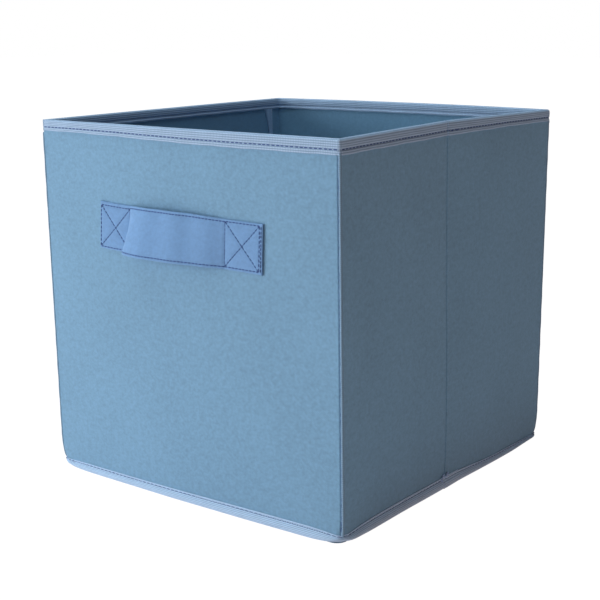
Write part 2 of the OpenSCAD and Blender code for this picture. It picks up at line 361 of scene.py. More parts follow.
class Thread:
    """Gathers separate stitches into one mesh."""

    def __init__(self):
        self.points = []
        self.faces = []
        self.uvs = []

    def stitch(self, line, normals, radius):
        """One stitch along a short line, with a point for each value of STITCH_LIFT."""
        line = line + normals * (STITCH_LIFT * radius / LIFT_RADIUS)[:, None]
        along = unit(np.gradient(line, axis=0))
        across = unit(np.cross(along, normals))
        up = np.cross(across, along)
        first = sum(len(p) for p in self.points)
        angle = np.arange(STITCH_SIDES) * 2 * math.pi / STITCH_SIDES
        ring = (across[:, None] * np.cos(angle)[None, :, None] * 1.15
                + up[:, None] * np.sin(angle)[None, :, None])
        self.points.append((line[:, None] + ring * (radius * STITCH_GIRTH)[:, None, None]).reshape(-1, 3))
        steps = distances(line)
        n = STITCH_SIDES
        for k in range(len(line) - 1):
            for i in range(n):
                j = (i + 1) % n
                self.faces.append([first + k * n + i, first + k * n + j,
                                   first + (k + 1) * n + j, first + (k + 1) * n + i])
                self.uvs += [(steps[k], i), (steps[k], i + 1), (steps[k + 1], i + 1), (steps[k + 1], i)]
        for cap in (0, len(line) - 1):
            self.faces.append([first + cap * n + i for i in range(n)])
            self.uvs += [(steps[cap], i) for i in range(n)]

    def run(self, surface, route, pitch, length, radius, start=0.5, jitter=0.12):
        """Running stitch on a surface, along a route of its two coordinates."""
        route = np.array(route, float)
        t = np.linspace(0, 1, ROUTE_POINTS)
        marks = np.linspace(0, 1, len(route))
        a = np.interp(t, marks, route[:, 0])
        b = np.interp(t, marks, route[:, 1])
        line = surface(a, b)
        da = np.gradient(a)
        db = np.gradient(b)
        size = np.hypot(da, db) / SURFACE_STEP
        forward = surface(a + da / size, b + db / size) - line
        sideways = surface(a - db / size, b + da / size) - line
        normals = unit(np.cross(forward, sideways))
        far = distances(line)
        count = int((far[-1] - 2 * start + pitch - length) / pitch)
        pitch = (far[-1] - 2 * start - length) / max(1, count - 1) if count > 1 else pitch
        for k in range(count):
            begin = start + k * pitch + random.uniform(-jitter, jitter)
            marks = begin + length * np.linspace(0, 1, len(STITCH_LIFT))
            points = np.stack([np.interp(marks, far, line[:, i]) for i in range(3)], axis=1)
            up = np.stack([np.interp(marks, far, normals[:, i]) for i in range(3)], axis=1)
            self.stitch(points, up, radius)

    def made(self, name, material):
        return finish_mesh(name, np.concatenate(self.points), self.faces, self.uvs, material, sharp=60)


# ---- Materials ----

def linear(red, green, blue):
    """Colour from screen values of 0 to 255."""
    def one(c):
        c /= 255
        return c / 12.92 if c <= 0.04045 else ((c + 0.055) / 1.055) ** 2.4
    return (one(red), one(green), one(blue), 1.0)


class Nodes:
    """Short calls for building a material's node tree."""

    def __init__(self, name, roughness, sheen=0.0, specular=0.3, slot=None):
        self.material = bpy.data.materials.new(name + "_look")
        self.material["slot"] = slot or name
        self.material.use_nodes = True
        self.tree = self.material.node_tree
        self.shader = self.tree.nodes["Principled BSDF"]
        self.shader.inputs["Roughness"].default_value = roughness
        self.shader.inputs["Specular IOR Level"].default_value = specular
        if sheen:
            self.shader.inputs["Sheen Weight"].default_value = sheen
            self.shader.inputs["Sheen Roughness"].default_value = 0.45
            self.shader.inputs["Sheen Tint"].default_value = (0.75, 0.85, 1.0, 1.0)
        uv = self.tree.nodes.new("ShaderNodeUVMap")
        uv.uv_map = UV_NAME
        self.uv = uv.outputs[0]
        parts = self.tree.nodes.new("ShaderNodeSeparateXYZ")
        self.link(self.uv, parts.inputs[0])
        self.along = parts.outputs[0]
        self.across = parts.outputs[1]

    def link(self, a, b):
        self.tree.links.new(a, b)

    def math(self, operation, *values):
        node = self.tree.nodes.new("ShaderNodeMath")
        node.operation = operation
        for i, value in enumerate(values):
            if isinstance(value, (int, float)):
                node.inputs[i].default_value = value
            else:
                self.link(value, node.inputs[i])
        return node.outputs[0]

    def scaled(self, x, y):
        """Flat coordinates in repeats per metre."""
        node = self.tree.nodes.new("ShaderNodeMapping")
        node.inputs["Scale"].default_value = (x, y, 1)
        self.link(self.uv, node.inputs[0])
        return node.outputs[0]

    def noise(self, x, y, detail=2.0, rough=0.5):
        node = self.tree.nodes.new("ShaderNodeTexNoise")
        node.inputs["Scale"].default_value = 1.0
        node.inputs["Detail"].default_value = detail
        node.inputs["Roughness"].default_value = rough
        self.link(self.scaled(x, y), node.inputs["Vector"])
        return node.outputs["Fac"]

    def wave(self, value, pitch, phase=0.0):
        """Sine from 0 to 1 along a coordinate in metres."""
        turned = self.math("MULTIPLY_ADD", value, 2 * math.pi / pitch, phase)
        return self.math("MULTIPLY_ADD", self.math("SINE", turned), 0.5, 0.5)

    def ramp(self, value, *stops):
        node = self.tree.nodes.new("ShaderNodeValToRGB")
        elements = node.color_ramp.elements
        while len(elements) < len(stops):
            elements.new(0.5)
        for element, (place_at, colour) in zip(elements, stops):
            element.position = place_at
            element.color = colour
        self.link(value, node.inputs[0])
        return node.outputs[0]

    def tint(self, value, colour, dark, light, low=0.3, high=0.7):
        """A colour whose strength follows a value."""
        return self.ramp(value, (low, shade(colour, dark)), (high, shade(colour, light)))

    def mix(self, amount, a, b):
        node = self.tree.nodes.new("ShaderNodeMix")
        node.data_type = "RGBA"
        for socket, value in ((node.inputs[0], amount), (node.inputs[6], a), (node.inputs[7], b)):
            if isinstance(value, (int, float, tuple)):
                socket.default_value = value
            else:
                self.link(value, socket)
        return node.outputs[2]

    def colour(self, value):
        self.link(value, self.shader.inputs["Base Color"])

    def roughness(self, value):
        self.link(value, self.shader.inputs["Roughness"])

    def bump(self, height, strength, distance):
        """Adds a bump under the ones already made."""
        node = self.tree.nodes.new("ShaderNodeBump")
        node.inputs["Strength"].default_value = strength
        node.inputs["Distance"].default_value = distance
        self.link(height, node.inputs["Height"])
        target = self.shader.inputs["Normal"]
        if target.is_linked:
            self.link(target.links[0].from_socket, node.inputs["Normal"])
        self.link(node.outputs[0], target)


def shade(colour, factor):
    """A colour made lighter or darker."""
    return tuple(c * factor for c in colour[:3]) + (1.0,)


def nonwoven(name, colour, sheen=0.25, emboss=0.0013, contrast=1.0, slot=None):
    """Matt spun-bonded cloth: fine fibres, a small embossed grid and soft blotches."""
    n = Nodes(name, 0.88, sheen, 0.22, slot)
    fibres = n.noise(2600, 900, 4.0, 0.65)
    grain = n.noise(430, 480, 3.0, 0.6)
    mottle = n.noise(230, 210, 2.0, 0.5)
    blotch = n.noise(16, 11, 3.0, 0.55)
    diagonal = n.math("ADD", n.along, n.across)
    other = n.math("SUBTRACT", n.along, n.across)
    grid = n.math("MULTIPLY", n.wave(diagonal, emboss), n.wave(other, emboss))
    dots = n.math("SMOOTH_MIN", n.math("MULTIPLY", grid, 1.6), 1.0, 0.2)
    base = n.tint(grain, colour, 1 - 0.2 * contrast, 1 + 0.2 * contrast)
    base = n.mix(0.45, base, n.tint(mottle, colour, 1 - 0.15 * contrast, 1 + 0.15 * contrast))
    base = n.mix(0.35, base, n.tint(blotch, colour, 0.88, 1.12, high=0.72))
    base = n.mix(n.math("MULTIPLY", dots, 0.16 * contrast), base, shade(colour, 0.62))
    n.colour(base)
    n.roughness(n.math("MULTIPLY_ADD", fibres, 0.16, 0.78))
    n.bump(fibres, 0.35, 0.00012)
    n.bump(n.math("SUBTRACT", 1.0, dots), 0.5, 0.00009)
    n.bump(n.noise(70, 60, 2.0, 0.5), 0.25, 0.0008)
    return n.material


def ribbed_tape(name, light, dark, slot=None, weft_depth=0.75):
    """Woven tape: ribs along its length, crossed by a fine weft, with painted shade in their troughs and a
    painted highlight on their crests.
    """
    n = Nodes(name, 0.72, 0.2, 0.35, slot)
    ribs = n.wave(n.across, RIB_PITCH * MM, -math.pi / 2)
    weft = n.wave(n.along, WEFT_PITCH * MM)
    fine = n.wave(n.along, YARN_PITCH * MM)
    yarn = n.noise(2200, 2600, 3.0, 0.6)
    broad = n.noise(90, 160, 2.0, 0.5)
    level = n.math("MULTIPLY", ribs, n.math("MULTIPLY_ADD", weft, weft_depth, 1 - weft_depth))
    # painted shade and highlight: the troughs of the ribs and weft take the dark colour, and their crests go
    # lighter than the light one
    base = n.ramp(level, (0.05, dark), (0.5, light), (1.0, shade(light, 1.08)))
    base = n.mix(0.25, base, n.tint(yarn, light, 0.72, 1.12))
    base = n.mix(0.18, base, n.tint(broad, light, 0.8, 1.1))
    n.colour(base)
    n.roughness(n.math("MULTIPLY_ADD", yarn, 0.2, 0.62))
    n.bump(yarn, 0.3, 0.00008)
    n.bump(n.math("MULTIPLY", fine, ribs), 0.45 * weft_depth, 0.00007)
    n.bump(weft, 0.65 * weft_depth, 0.00012)
    return n.material


def twisted_thread(name, colour, slot=None):
    """Two-ply sewing thread with a little fuzz."""
    n = Nodes(name, 0.55, 0.15, 0.4, slot)
    twist = n.wave(n.math("MULTIPLY_ADD", n.across, 0.35, n.along), 0.0007)
    fuzz = n.noise(3000, 900, 2.0, 0.6)
    base = n.tint(twist, colour, 0.55, 1.15, low=0.1)
    n.colour(n.mix(0.3, base, n.tint(fuzz, colour, 0.7, 1.5)))
    n.roughness(n.math("MULTIPLY_ADD", fuzz, 0.2, 0.45))
    n.bump(twist, 0.6, 0.00012)
    return n.material


def pressed_board(name, colour):
    """Grey-brown chipboard with flecks and clouds of darker pulp."""
    n = Nodes(name, 0.85, 0.0, 0.25)
    fleck = n.noise(900, 260, 4.0, 0.7)
    cloud = n.noise(60, 45, 3.0, 0.5)
    base = n.ramp(fleck, (0.3, shade(colour, 0.72)), (0.5, colour), (0.72, shade(colour, 1.3)))
    n.colour(n.mix(0.4, base, n.tint(cloud, colour, 0.8, 1.15)))
    n.roughness(n.math("MULTIPLY_ADD", fleck, 0.15, 0.75))
    n.bump(fleck, 0.5, 0.0002)
    return n.material


RIB_PITCH = 1.5
WEFT_PITCH = 1.35
YARN_PITCH = 0.42

WALL = nonwoven("wall_fabric", linear(122, 163, 196), contrast=1.3)
# painted light: a lighter copy of the lining for the tuck beside the rear left corner
LIT_TUCK = nonwoven("lining_tuck", linear(150, 180, 212), contrast=0.8, slot="lining_fabric")
LINING = nonwoven("lining_fabric", linear(108, 150, 182), contrast=0.8)
STRAP = nonwoven("handle_fabric", linear(118, 159, 208), sheen=0.3, emboss=0.0011, contrast=0.8)
INSERT = nonwoven("insert_cover", linear(112, 154, 186))
TAPE = ribbed_tape("binding_tape", linear(172, 199, 229), linear(96, 124, 164))
# painted light: a lighter copy of the binding tape for the binding round the floor
LIT_FLOOR_TAPE = ribbed_tape("floor_tape", linear(186, 215, 246), linear(110, 140, 182), "binding_tape", 0.1)
# painted shade: a darker copy of the binding tape for the beads up the corner seams
SHADED_SEAM_TAPE = ribbed_tape("seam_edge", linear(134, 168, 198), linear(100, 132, 162), "binding_tape")
THREAD = twisted_thread("thread", linear(50, 84, 150))
# painted light: a much lighter copy of the thread for the loose ends at the binding's join
LIT_LOOSE_THREAD = twisted_thread("loose_thread", linear(168, 196, 240), slot="thread")
BOARD = pressed_board("chipboard", linear(150, 132, 108))


# ---- Pieces and the bodies they ride on ----

def attach(piece, bodies, bend=None, stands_for=()):
    """Rides a piece on its first body; a piece given a bend is only baked in place and rides on none."""
    if bend:
        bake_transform(piece)
    else:
        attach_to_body(piece, bodies[0])
    if stands_for:
        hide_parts(*stands_for)
    return piece


# Part of a wall between two columns: the bodies it rides on, the bend between them in y,
# and the CAD walls or half walls that it stands for
Section = namedtuple("Section", "name low high bodies bend halves")


def side_sections(side):
    """Sections of a side wall, which bends at its crease and where it meets the end walls."""
    s = 1 if side == "right" else -1
    seam = seam_column(side)
    near = CREASE_PIECE
    rear, front, crease = side + "_rear", side + "_front", side + "_crease"

    def section(name, y_low, y_high, bodies, bend, halves):
        low, high = (y_low, y_high) if s > 0 else (-y_high, -y_low)
        return Section(name, low, high, bodies, bend, halves)

    sections = [
        section(front, -seam, -near, (front, "front_wall"), (-CORNER_BEND[1], -CORNER_BEND[0]), [front]),
        section(crease, -near, near, (rear, front), (CREASE_BEND, -CREASE_BEND), [rear, front]),
    ]
    if side == "right":
        return sections + [section(rear, near, seam, ("back_wall", rear), CORNER_BEND, [rear])]
    return [
        section(side + "_corner", OPEN_SPLIT, seam, ("back_wall",), None, [rear]),
        *sections,
        section(rear, near, OPEN_SPLIT, (rear,), None, [rear]),
    ]


def wall_sections(side):
    """Sections of any wall. An end wall is all one."""
    if side in ("front", "back"):
        seam = seam_column(side)
        return [Section(side, -seam, seam, (side + "_wall",), None, [side])]
    return side_sections(side)


def nodes(section, part):
    """CAD nodes that a section's piece stands for."""
    return [half + "_" + part for half in section.halves]


def wall_layer(side, section, part, form, levels, face, back, material):
    """One layer of a wall, as a thin solid that follows the wall's shape."""
    columns = wall_columns(side, section.low, section.high)
    layers = [place(side, columns[None, :], levels[:, None], out) for out in (face, back)]
    uv = flat_grid(SIDE_START[side] + columns[None, :], levels[:, None])
    piece = slab(section.name + "_" + part + form, *layers, uv, material)
    return attach(piece, section.bodies, section.bend, nodes(section, part))


def build_cloth(side, part, low_z, face, back, material, small):
    """A wall's fabric in as many sheets as its folds need; small pieces and corner sheets are gathered in a
    list and left separate.
    """
    strip = list(small)
    for section in wall_sections(side):
        levels = wall_levels(low_z, FABRIC_HIGH)
        piece = wall_layer(side, section, part, "_sheet", levels, face, back, material)
        if section.name.endswith("_corner"):
            strip.append(piece)
            continue


def build_walls():
    """Chipboard, outer fabric and lining of all four walls."""
    build_boards()
    small = {("left", "outer_fabric"): [build_gusset()], ("left", "lining"): [build_pleat()]}
    for side in SIDES:
        for part, low_z, face, back, material in (
                ("outer_fabric", FABRIC_LOW, 0.0, -FABRIC_T, WALL),
                ("lining", LINING_LOW, LINING_FACE, BOARD_BACK, LINING)):
            build_cloth(side, part, low_z, face, back, material, small.get((side, part), []))


def build_gusset():
    """Cloth round the rear left folding line, which closes the corner as the left wall folds in."""
    full_radius = 3.4
    levels = spread(12.0, FABRIC_HIGH, 8.0)[:, None]
    turn = np.radians(spread(180, 256, 9.5))[None, :]
    radius = full_radius - 2.4 * np.exp(-levels / 14.0)
    rings = []
    for inset in (0.0, 0.3):
        x = -PIVOT[0] + (radius - inset) * np.cos(turn)
        y = PIVOT[1] + (radius - inset) * np.sin(turn)
        rings.append(np.stack([x, y, np.broadcast_to(levels, x.shape)], axis=-1))
    gusset = slab("left_gusset_sheet", *rings, flat_grid(turn * full_radius, levels), WALL)
    return attach(gusset, ("back_wall",))


def build_pleat():
    """Tuck of the left wall's lining beside the rear corner, widest under the rim tape."""
    widest, narrowest = 11.8, 1.2
    thickness = 0.35
    levels = spread(RIM_Z - 75, RIM_Z - RIM_TAPE_H + 1.5, 2.5)[:, None]
    share = spread(0, 1, 0.05)[None, :]
    width = narrowest + (widest - narrowest) * np.linspace(0, 1, len(levels))[:, None] ** 2.2
    size = width / widest
    columns = width * (share - 0.25) - (HALF_D - 11.5 - 3.0 * size)
    bulge = (1.5 * np.sin(math.pi * share) ** 0.7 + 0.35 * np.sin(3 * math.pi * share)) * size ** 0.5
    layers = [place("left", columns, levels, LINING_FACE - 0.05 - lift - bulge)
              for lift in (thickness, 0.0)]
    # the tuck's lighter lining colour is painted light
    tuck = slab("left_rear_lining_tuck", *layers, flat_grid(11 * share, levels), LIT_TUCK)
    return attach(tuck, ("left_rear",))


def board_section(side, section):
    """The part of a section that its chipboard fills, which doesn't bend."""
    low, high = section.low, section.high
    if section.name == side:
        return section._replace(low=low + END_BOARD_INSET, high=high - END_BOARD_INSET)
    if high > 0:
        low, high = CREASE_BOARD_GAP, min(high, EVEN_END)
    else:
        low, high = max(low, -EVEN_END), -CREASE_BOARD_GAP
    return section._replace(low=low, high=high, bodies=(section.name,), bend=None)


def build_boards():
    """Chipboard panels: one in each end wall and one in each half of a side wall."""
    levels = wall_levels(BOARD_LOW_Z, BOARD_HIGH_Z)
    face, back = -FABRIC_T - BOARD_GAP, BOARD_BACK + BOARD_GAP
    for side in ("front", "back", "left", "right"):
        for section in wall_sections(side):
            if not section.name.endswith(("_crease", "_corner")):
                filled = board_section(side, section)
                wall_layer(side, filled, "board", "_panel", levels, face, back, BOARD)


# ---- Rim tape ----

RIM_STITCH_DROP = 6.9     # from the rim down to the stitches
RIM_RIB = 0.16            # height of the ribs
RIM_TAPE_T = 0.55
TAPE_MIDDLE = -1.5        # top of the fold, half way through the wall


def rim_profile():
    """Outer and inner path of the rim tape, as distance out of the wall and drop below the rim."""
    drop = RIM_TAPE_H
    stitched = RIM_STITCH_DROP
    lining = LINING_FACE
    over_rim = [
        (0.75, drop), (0.85, drop - 0.8), (0.65, stitched + 0.9), (0.02, stitched), (0.5, stitched - 0.9),
        (0.7, 4.6), (0.7, 2.2), (0.4, 0.8), (-0.5, 0.1), (TAPE_MIDDLE, 0.0), (lining + 0.5, 0.1),
        (lining - 0.4, 0.8), (lining - 0.65, 2.6), (lining - 0.6, 5.0), (lining - 0.15, stitched - 0.2),
        (lining - 0.55, stitched + 0.6), (lining - 0.6, drop - 1.6),
    ]
    path, marks = smooth_path(over_rim, RIB_PITCH / 5)
    normals = path_normals(path, 0)
    ribs = RIM_RIB * np.abs(np.sin(math.pi * marks / RIB_PITCH))
    return path + normals * ribs[:, None], path - RIM_TAPE_T * normals, marks


def tape_share(side, columns):
    """The tape is sewn on a little narrower in places."""
    columns = np.asarray(columns, float)
    if side == "front":
        return 0.77 + 0.23 * ease((columns + 130) / 180)
    if side == "right":
        return 1 - 0.12 * ease((columns + 20) / 120)
    return np.ones(np.shape(columns))


def tape_grid(side, columns, path):
    """Points of a tape that is folded over the rim, for each column and each point of its path."""
    run = columns + SIDE_START[side]
    waver = 0.12 * (np.sin(run / 7.3) + 0.6 * np.sin(run / 2.9))
    share = np.clip(path[:, 1] / RIM_TAPE_H, 0, 1) ** 2
    sway = waver[:, None] * share[None, :]
    drop = path[None, :, 1] * tape_share(side, columns)[:, None] + sway
    outside = np.sign(path[None, :, 0] - TAPE_MIDDLE)
    out = path[None, :, 0] + 0.35 * sway * outside
    columns = columns[:, None]
    if side == "right":
        out = out - 0.9 * outside * np.exp(-((columns - CREASE_AT) / 0.8) ** 2)
    if side in ("front", "left"):
        from_corner = corner_end(side) + (columns if side == "front" else -columns)
        flat = np.exp(-np.maximum(from_corner, 0) / 9) * (outside > 0)
        out = out * (1 - flat) + 0.3 * flat
    return place(side, columns, RIM_Z - drop, out)


def rim_sections(side):
    """The end walls' tape goes round both corners, and the side walls' tape lies between."""
    reach = corner_end(side)
    if side in ("front", "back"):
        reach += TOP_RADIUS * math.pi / 2
        return [section._replace(low=-reach, high=reach) for section in wall_sections(side)]
    return [section._replace(low=max(section.low, -reach), high=min(section.high, reach))
            for section in side_sections(side)]


def build_rim_tape():
    """Ribbed tape folded over the rim, one piece for each section of a wall."""
    path, inside, marks = rim_profile()
    for side in SIDES:
        for section in rim_sections(side):
            columns = wall_columns(side, section.low, section.high, 2.5)
            uv = flat_grid(SIDE_START[side] + columns[:, None], marks[None, :])
            piece = slab(section.name + "_top_binding_tape", tape_grid(side, columns, path),
                         tape_grid(side, columns, inside), uv, TAPE)
            attach(piece, section.bodies, section.bend, nodes(section, "top_binding"))


def build_rim_stitching():
    """Running stitch through the tape, seen on the outside and more faintly on the inside."""
    z = RIM_Z - RIM_STITCH_DROP
    for side in SIDES:
        edge = 1.2 if side in ("front", "back") else 0.2
        for section in rim_sections(side):
            thread = Thread()
            for out, turn, radius, trim in ((0.12, 1, 0.3, 0.0), (LINING_FACE + 0.02, -1, 0.17, 4.5)):
                reach = corner_end(side) - trim
                start = max(section.low + edge, -reach)
                stop = min(section.high - edge, reach)
                if stop - start < 4:
                    continue

                def surface(a, b, out=out, turn=turn, side=side):
                    drop = (RIM_Z - b) * tape_share(side, a * turn)
                    return place(side, a * turn, RIM_Z - drop, out)

                low, high = (start, stop) if turn > 0 else (-stop, -start)
                thread.run(surface, [(low, z), (high, z)], 3.9, 3.4, radius, start=0.35, jitter=0.25)
                if section.name == "right_crease" and turn > 0:
                    thread.run(surface, [(-1.0, z - 0.5), (9.0, z - 0.3)], 3.4, 3.6, 0.4, start=0.1)
            if thread.points:
                piece = thread.made(section.name + "_stitching_thread", THREAD)
                attach(piece, section.bodies, section.bend, nodes(section, "stitching"))


# ---- Corner seams ----

def seam_ridge(side, s, size):
    """Narrow bead where two panels are sewn together, on the seam column of a corner."""
    levels = wall_levels(SEAM_TOP - 1.5, RIM_Z - RIM_TAPE_H + 1.0)
    column = s * seam_column(side)
    here = place(side, column, levels, 0.0)
    outside = place(side, column, levels, 1.0)
    out = unit(outside - here)
    across = unit(np.cross(out, np.array([0, 0, 1.0])))
    angle = np.linspace(0, 2 * math.pi, 13)
    girth = 1 + 0.08 * np.sin(levels / 3.1) + 0.05 * np.sin(levels / 1.3)
    ring = size * (across[:, None] * np.cos(angle)[None, :, None]
                   + out[:, None] * (0.3 + np.sin(angle))[None, :, None])
    return here[:, None] + ring * girth[:, None, None], levels, angle


def tube(name, rings, along, around, material):
    """Closed tube through rings whose last point repeats the first."""
    rows, cols = rings.shape[:2]
    caps = [list(range(cols - 1)), [(rows - 1) * cols + i for i in range(cols - 1)]]
    uv = flat_grid(along[:, None], around[None, :]).reshape(-1, 2)
    faces = quad_grid(rows, cols).tolist() + caps
    flat = [uv[i] for face in faces for i in face]
    return finish_mesh(name, rings.reshape(-1, 3), faces, flat, material, sharp=50)


def build_corner_seams():
    """Raised seams up the four corners. The front left one's stitches are on the left wall."""
    for side in ("front", "back"):
        for s in (-1, 1):
            hand = "right" if (side == "front") == (s > 0) else "left"
            name = side + "_" + hand + "_seam"
            rings, levels, angle = seam_ridge(side, s, 1.1 if s > 0 else 0.7)
            # the bead's darker tape colour is painted shade
            ridge = tube(name + "_ridge", rings, levels, angle * 0.7, SHADED_SEAM_TAPE)
            attach(ridge, (side + "_wall",), None, [name])
            thread = Thread()
            sewn, end = (side, s) if (side, s) in SEWN_ENDS else ("left", 1)

            def surface(a, b, sewn=sewn):
                return place(sewn, a, b, 0.05)

            column = end * (seam_column(sewn) - SEAM_INSET)
            top = RIM_Z - RIM_TAPE_H - 0.5
            thread.run(surface, [(column, SEAM_TOP + 1), (column, top)], 4.3, 4.0, 0.36)
            attach(thread.made(name + "_thread", THREAD), (side + "_wall",))


# ---- Floor of the bin ----

FLOOR_RIB = 1.3
BINDING_TOP = 9.8
FLOOR_STITCH_Z = 7.8
JOIN_AT = -6.0            # lapped end of the binding, along the right side
JOIN_LENGTH = 20.0


def flatten(piece, *nodes):
    """The floor's soft pieces ride on the rear wall, each with a mesh of its own, and hide the CAD nodes they
    stand for.
    """
    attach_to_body(piece, "back_wall")
    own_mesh(piece)
    if nodes:
        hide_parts(*nodes)


def floor_profile():
    """Outer path of the floor binding, as distance out of the wall and height."""
    points = [(0.12, BINDING_TOP), (0.45, 9.6), (0.55, 9.0), (0.2, 7.8), (0.95, 6.6), (1.9, 5.0), (2.15, 3.6),
              (1.9, 2.0), (1.1, 0.7), (-0.2, 0.1), (-2.0, 0.0), (-4.6, 0.0)]
    path, marks = smooth_path(points, FLOOR_RIB / 5)
    normals = path_normals(path, 1)
    ribs = 0.14 * np.abs(np.sin(math.pi * marks / FLOOR_RIB))
    face = path + normals * ribs[:, None]
    face[:, 1] = np.maximum(face[:, 1], 0.0)
    return face, path - normals * 0.6, marks


def binding_height(side, columns, z):
    """Height of a point of the binding: it is drawn narrower and lifted round the corners."""
    away = seam_column(side) - np.abs(columns)
    rear_right = ((side == "right") & (columns > 0)) | ((side == "back") & (columns < 0))
    front_right = (side == "right") & (columns < 0)
    reach, narrower, lift = [np.where(rear_right, most, usual)
                             for most, usual in ((32.0, 16.0), (0.55, 0.34), (3.7, 1.7))]
    near = np.exp(-(away / np.where(front_right, 24.0, reach)) ** 2)
    if side == "front":
        z = z * (0.7 + 0.2 * ease((columns + 130) / 240))
    if side == "right":
        z = z * (1 - 0.4 * ease((columns + 5) / 80))
    return z * (1 - narrower * near) + lift * near


def floor_ring(path):
    """The binding's points round all four walls, and each station's distance along it."""
    grids = []
    runs = []
    for side in SIDES:
        seam = seam_column(side)
        columns = wall_columns(side, -seam, seam, 3.0)
        z = binding_height(side, columns[:, None], path[None, :, 1])
        grids.append(place(side, columns[:, None], z, np.broadcast_to(path[None, :, 0], z.shape)))
        runs.append(SIDE_START[side] + columns)
    return np.concatenate(grids), np.concatenate(runs)


def build_floor():
    """Bound seam that the bin stands on, its stitching, its lapped join and the floor's cloth."""
    face_path, back_path, marks = floor_profile()
    face, runs = floor_ring(face_path)
    back = floor_ring(back_path)[0]
    back[..., 2] = np.maximum(back[..., 2], 0.35)
    face = np.concatenate([face, face[:1]])
    back = np.concatenate([back, back[:1]])
    runs = np.concatenate([runs, [runs[0] + len(SIDES) * SIDE_RUN]])
    uv = flat_grid(runs[:, None], marks[None, :] * RIB_PITCH / FLOOR_RIB)
    # the floor binding's lighter tape colour is painted light
    binding = slab("bottom_binding_tape", face, back, uv, LIT_FLOOR_TAPE)
    flatten(binding, "bottom_binding")
    thread = Thread()
    for side in SIDES:
        seam = seam_column(side)

        def surface(a, b, side=side):
            return place(side, a, binding_height(side, a, FLOOR_STITCH_Z), 0.26 + 0 * b)

        thread.run(surface, [(-seam, 0), (0, 0.5), (seam, 1)], 4.2, 3.3, 0.27)
    flatten(thread.made("bottom_stitching_thread", THREAD), "bottom_stitching")
    build_floor_join()
    build_floor_panel()


def build_floor_join():
    """The binding's end is lapped over its beginning, with a slanted edge and loose ends of thread."""
    slant = 3.6
    path = floor_profile()[0]
    path = path[path[:, 0] > -2.5]
    normals = path_normals(path, 1)
    start = JOIN_AT - slant * path[:, 1] / BINDING_TOP
    share = np.concatenate([[0, 0.02, 0.05], spread(0.1, 1, 0.09)])
    column = start[None, :] + (JOIN_AT + JOIN_LENGTH - start[None, :]) * share[:, None]
    over = 0.36 * np.clip(1.3 * (1 - share), 0.05, 1)[:, None, None]
    layers = []
    for lift, lowest in ((over, 0.02), (-0.3 + 0 * over, 0.3)):
        point = path + normals * lift
        layers.append(place("right", column, np.maximum(point[..., 1], lowest), point[..., 0]))
    uv = flat_grid(SIDE_START["right"] + column, path[None, :, 1])
    flatten(slab("bottom_binding_join", *layers, uv, LIT_FLOOR_TAPE))
    ends = Thread()

    def surface(a, b):
        return place("right", a, b, 0.9)

    for at in (JOIN_AT - 2.5, JOIN_AT + 3.5):
        knot = [(at - 1.6, 9.4), (at - 0.6, 11.6), (at + 0.9, 12.3), (at + 1.7, 10.9), (at - 0.2, 9.9)]
        ends.run(surface, knot, 2.1, 2.3, 0.5, start=0.1)
        ends.run(surface, [(at - 0.8, 10.2), (at + 1.4, 12.8)], 2.0, 2.0, 0.45, start=0.1)
    slanted = [(JOIN_AT - 5.0, 9.0), (JOIN_AT - 2.6, 4.5), (JOIN_AT - 0.6, 0.8)]
    ends.run(surface, slanted, 1.5, 1.7, 0.42, start=0.1)
    # the loose ends' lighter thread colour is painted light
    flatten(ends.made("bottom_binding_thread_ends", LIT_LOOSE_THREAD))


def rounded_rows(half_x, low_y, high_y, radius, step):
    """Row positions and half widths of a rectangle with rounded corners."""
    turn = np.linspace(0, math.pi / 2, 9)
    curve = radius * (1 - np.cos(turn))
    middle = spread(low_y + radius, high_y - radius, step)
    rows = np.concatenate([low_y + curve[:-1], middle, high_y - curve[-2::-1]])
    inset = np.maximum(0, np.maximum(low_y + radius - rows, rows - high_y + radius))
    width = half_x - radius + np.sqrt(np.maximum(radius ** 2 - inset ** 2, 0))
    return rows, width


def edge_distance(x, y, half_x, low_y, high_y, radius):
    """Distance inward from the edge of a rectangle with rounded corners."""
    mid, half_y = (low_y + high_y) / 2, (high_y - low_y) / 2
    qx = np.abs(x) - half_x + radius
    qy = np.abs(y - mid) - half_y + radius
    outside = np.hypot(np.maximum(qx, 0), np.maximum(qy, 0))
    return radius - outside - np.minimum(np.maximum(qx, qy), 0)


def plate_grid(half_x, low_y, high_y, radius, step):
    """Grid of x and y over a rectangle with rounded corners, dense near its edges."""
    rows, width = rounded_rows(half_x, low_y, high_y, radius, step)
    edge = 1 - np.array([0, 0.004, 0.01, 0.017, 0.025, 0.035, 0.05, 0.08, 0.12])
    inner = np.linspace(-0.86, 0.86, int(2 * half_x / step))
    share = np.concatenate([-edge, inner, edge[::-1]])
    x = share[None, :] * width[:, None]
    y = np.broadcast_to(rows[:, None], x.shape)
    return x, y


def build_floor_panel():
    """Fabric of the bin's floor, seen from below inside the binding."""
    inset = 3.6 + TAPER
    corner = 8.0
    half_x, half_y = HALF_W - inset, HALF_D - inset
    x, y = plate_grid(half_x, -half_y, half_y, corner, 6.0)
    sag = 0.12 * np.sin(x / 27.0) * np.sin(y / 33.0)
    face, back = [np.stack([x, y, level + sag], axis=-1) for level in (0.62, 0.9)]
    panel = slab("bottom_fabric_sheet", face, back, flat_grid(x, y), WALL)
    flatten(panel, "bottom_fabric")


# ---- Handle ----

STRAP_L, STRAP_R = -81.4, 75.5    # ends of the strap, at the middle of its width
BOX_L, BOX_R = -50.2, 41.8        # inner sides of the two stitched boxes
STRAP_W = 35.4
STRAP_T = 1.5
STRAP_R_Z = (strap_low[2] + strap_high[2]) / 2 - 1.85   # middle of its right end
STRAP_SLOPE = 0.0132      # the left end is higher
STRAP_EDGE = 0.9          # rounded edge
STRAP_HEM = 1.9           # from the free part's edges to their stitches
STRAP_STITCH = {"pitch": 2.9, "length": 2.55, "radius": 0.31, "start": 0.2, "jitter": 0.15}

